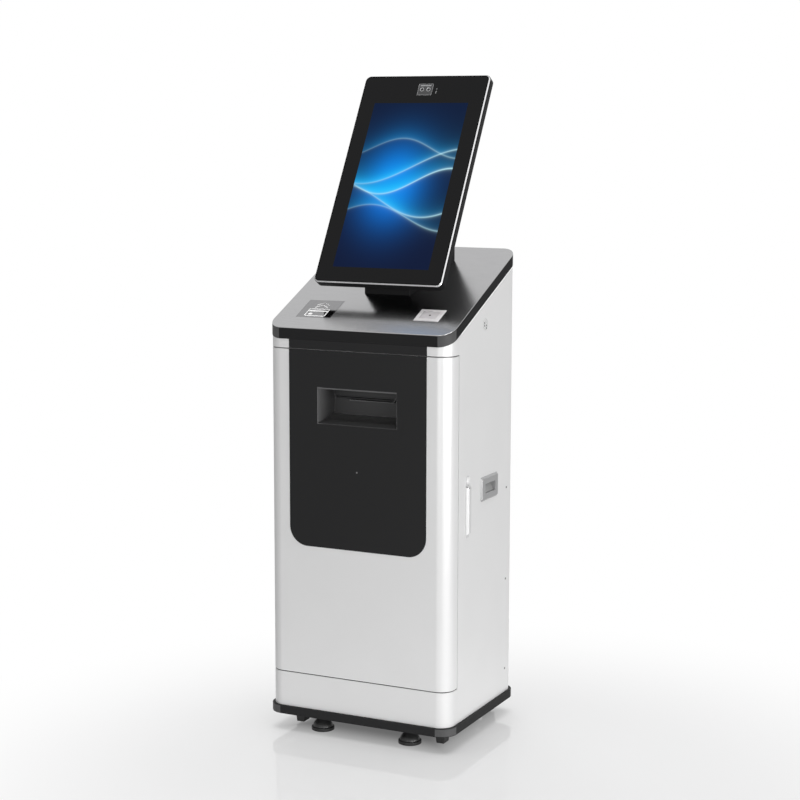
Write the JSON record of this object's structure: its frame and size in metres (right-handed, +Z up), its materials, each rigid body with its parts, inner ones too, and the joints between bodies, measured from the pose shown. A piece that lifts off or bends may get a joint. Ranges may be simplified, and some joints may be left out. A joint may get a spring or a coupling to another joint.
{
  "type": "document printing kiosk",
  "caption": "Free-standing printing kiosk: rounded cabinet with a hinged front door and paper recess, sloping counter with card reader and scanner, and a tilted portrait touch screen.",
  "frame": {"origin": "on the floor, under the middle of the kiosk's overall box", "axes": "+Z up, front towards -Y, +X to the right of someone facing the screen"},
  "size_m": [0.521, 0.4356, 1.6759],
  "materials": {
    "white_paint": "smooth satin white powder coat",
    "black_paint": "satin black powder coat",
    "black_panel": "satin black sheet",
    "black_board": "black compact board with a smooth edge",
    "polished_steel": "bright polished sheet",
    "plain_steel": "plain zinc-plated steel",
    "grey_glass": "glossy grey window",
    "pale_metal": "pale bead-blasted frame",
    "grey_zinc": "grey die-cast plate",
    "bright_trim": "bright chamfered trim",
    "screen_glass": "black-bordered cover glass over the picture",
    "display": "lit blue picture",
    "dark_plastic": "fine-grained dark plastic",
    "light_plastic": "clear light pipe",
    "paper_tray": "grey plastic tray",
    "alloy_case": "folded alloy case",
    "roller_rubber": "soft black rubber on a shaft",
    "foot_plastic": "black nylon",
    "caster_plastic": "black nylon",
    "caster_steel": "plated steel"
  },
  "bodies": {
    "cabinet": {"kick_panel": "white_paint", "side_panel_left": "white_paint", "side_panel_right": "white_paint", "rear_panel": "white_paint", "fascia_corners": "white_paint", "hinge_fixed_leaves": "white_paint", "lock_backplate": "white_paint", "base_plate": "black_paint", "fascia_centre": "black_paint", "pedestal": "black_paint", "screen_back": "black_paint", "counter_core": "black_board", "counter_plate": "polished_steel", "printer_shelf": "plain_steel", "hinge_pins": "plain_steel", "screws": "plain_steel", "card_window": "grey_glass", "scanner_frame": "pale_metal", "flush_pulls": "grey_zinc", "screen_rim": "bright_trim", "screen_glass": "screen_glass", "display_panel": "display", "card_reader": "dark_plastic", "scanner": "dark_plastic", "camera_module": "dark_plastic", "speakers": "dark_plastic", "mains_inlet": "dark_plastic", "printer_body": "dark_plastic", "paper_cassette": "paper_tray", "computer": "alloy_case", "power_supply": "alloy_case", "caster_plates": "caster_steel"},
    "door": {"door_skin": "white_paint", "door_panel": "black_panel", "paper_chute": "dark_plastic", "status_light": "light_plastic", "door_keeper": "plain_steel", "hinge_door_leaves": "white_paint"},
    "lock": {"lock_spindle": "white_paint", "lock_hook": "plain_steel"},
    "lever": {"lock_lever": "white_paint", "lever_pin": "plain_steel"},
    "foot_front_left": {"foot_front_left": "foot_plastic"},
    "caster_fork_front_left": {"caster_fork_front_left": "caster_plastic"},
    "caster_wheel_front_left": {"caster_wheel_front_left": "caster_plastic"},
    "foot_front_right": {"foot_front_right": "foot_plastic"},
    "caster_fork_front_right": {"caster_fork_front_right": "caster_plastic"},
    "caster_wheel_front_right": {"caster_wheel_front_right": "caster_plastic"},
    "foot_rear_left": {"foot_rear_left": "foot_plastic"},
    "caster_fork_rear_left": {"caster_fork_rear_left": "caster_plastic"},
    "caster_wheel_rear_left": {"caster_wheel_rear_left": "caster_plastic"},
    "foot_rear_right": {"foot_rear_right": "foot_plastic"},
    "caster_fork_rear_right": {"caster_fork_rear_right": "caster_plastic"},
    "caster_wheel_rear_right": {"caster_wheel_rear_right": "caster_plastic"},
    "drive_roller": {"exit_drive_roller": "roller_rubber"},
    "pinch_roller": {"exit_pinch_roller": "roller_rubber"},
    "rocker": {"rocker_switch": "dark_plastic"}
  },
  "joints": [
    {"name": "door_hinge", "type": "hinge", "parent": "cabinet", "child": "door", "pos_m": [-0.2565, -0.15734, 0.576], "axis": [0, 0, -1], "range_deg": [0, 120]},
    {"name": "lock_turn", "type": "hinge", "parent": "cabinet", "child": "lock", "pos_m": [0.25, -0.10334, 0.677], "axis": [-1, 0, 0], "range_deg": [0, 90]},
    {"name": "lever_swing", "type": "hinge", "parent": "lock", "child": "lever", "pos_m": [0.2569, -0.10334, 0.6608], "axis": [0, -1, 0], "range_deg": [0, 35]},
    {"name": "foot_front_left_screw", "type": "slide", "parent": "cabinet", "child": "foot_front_left", "axis": [0, 0, 1], "range_m": [-0.012, 0]},
    {"name": "foot_front_right_screw", "type": "slide", "parent": "cabinet", "child": "foot_front_right", "axis": [0, 0, 1], "range_m": [-0.012, 0]},
    {"name": "foot_rear_left_screw", "type": "slide", "parent": "cabinet", "child": "foot_rear_left", "axis": [0, 0, 1], "range_m": [-0.012, 0]},
    {"name": "foot_rear_right_screw", "type": "slide", "parent": "cabinet", "child": "foot_rear_right", "axis": [0, 0, 1], "range_m": [-0.012, 0]},
    {"name": "caster_front_left_swivel", "type": "hinge", "parent": "cabinet", "child": "caster_fork_front_left", "pos_m": [-0.201, -0.14984, 0.037], "axis": [0, 0, 1], "continuous": true},
    {"name": "caster_front_left_roll", "type": "hinge", "parent": "caster_fork_front_left", "child": "caster_wheel_front_left", "pos_m": [-0.201, -0.12734, 0.0165], "axis": [1, 0, 0], "continuous": true},
    {"name": "caster_front_right_swivel", "type": "hinge", "parent": "cabinet", "child": "caster_fork_front_right", "pos_m": [0.201, -0.14984, 0.037], "axis": [0, 0, 1], "continuous": true},
    {"name": "caster_front_right_roll", "type": "hinge", "parent": "caster_fork_front_right", "child": "caster_wheel_front_right", "pos_m": [0.201, -0.12734, 0.0165], "axis": [1, 0, 0], "continuous": true},
    {"name": "caster_rear_left_swivel", "type": "hinge", "parent": "cabinet", "child": "caster_fork_rear_left", "pos_m": [-0.201, 0.14416, 0.037], "axis": [0, 0, 1], "continuous": true},
    {"name": "caster_rear_left_roll", "type": "hinge", "parent": "caster_fork_rear_left", "child": "caster_wheel_rear_left", "pos_m": [-0.201, 0.16666, 0.0165], "axis": [1, 0, 0], "continuous": true},
    {"name": "caster_rear_right_swivel", "type": "hinge", "parent": "cabinet", "child": "caster_fork_rear_right", "pos_m": [0.201, 0.14416, 0.037], "axis": [0, 0, 1], "continuous": true},
    {"name": "caster_rear_right_roll", "type": "hinge", "parent": "caster_fork_rear_right", "child": "caster_wheel_rear_right", "pos_m": [0.201, 0.16666, 0.0165], "axis": [1, 0, 0], "continuous": true},
    {"name": "drive_roller_turn", "type": "hinge", "parent": "cabinet", "child": "drive_roller", "pos_m": [0, -0.09484, 0.85895], "axis": [1, 0, 0], "continuous": true},
    {"name": "pinch_roller_turn", "type": "hinge", "parent": "cabinet", "child": "pinch_roller", "pos_m": [0, -0.09484, 0.87425], "axis": [1, 0, 0], "continuous": true},
    {"name": "rocker_press", "type": "hinge", "parent": "cabinet", "child": "rocker", "pos_m": [0.144, 0.20066, 0.0983], "axis": [1, 0, 0], "range_deg": [0, 16]}
  ],
  "couplings": [
    {"joint": "pinch_roller_turn", "follows": "drive_roller_turn", "ratio": -1.5}
  ]
}
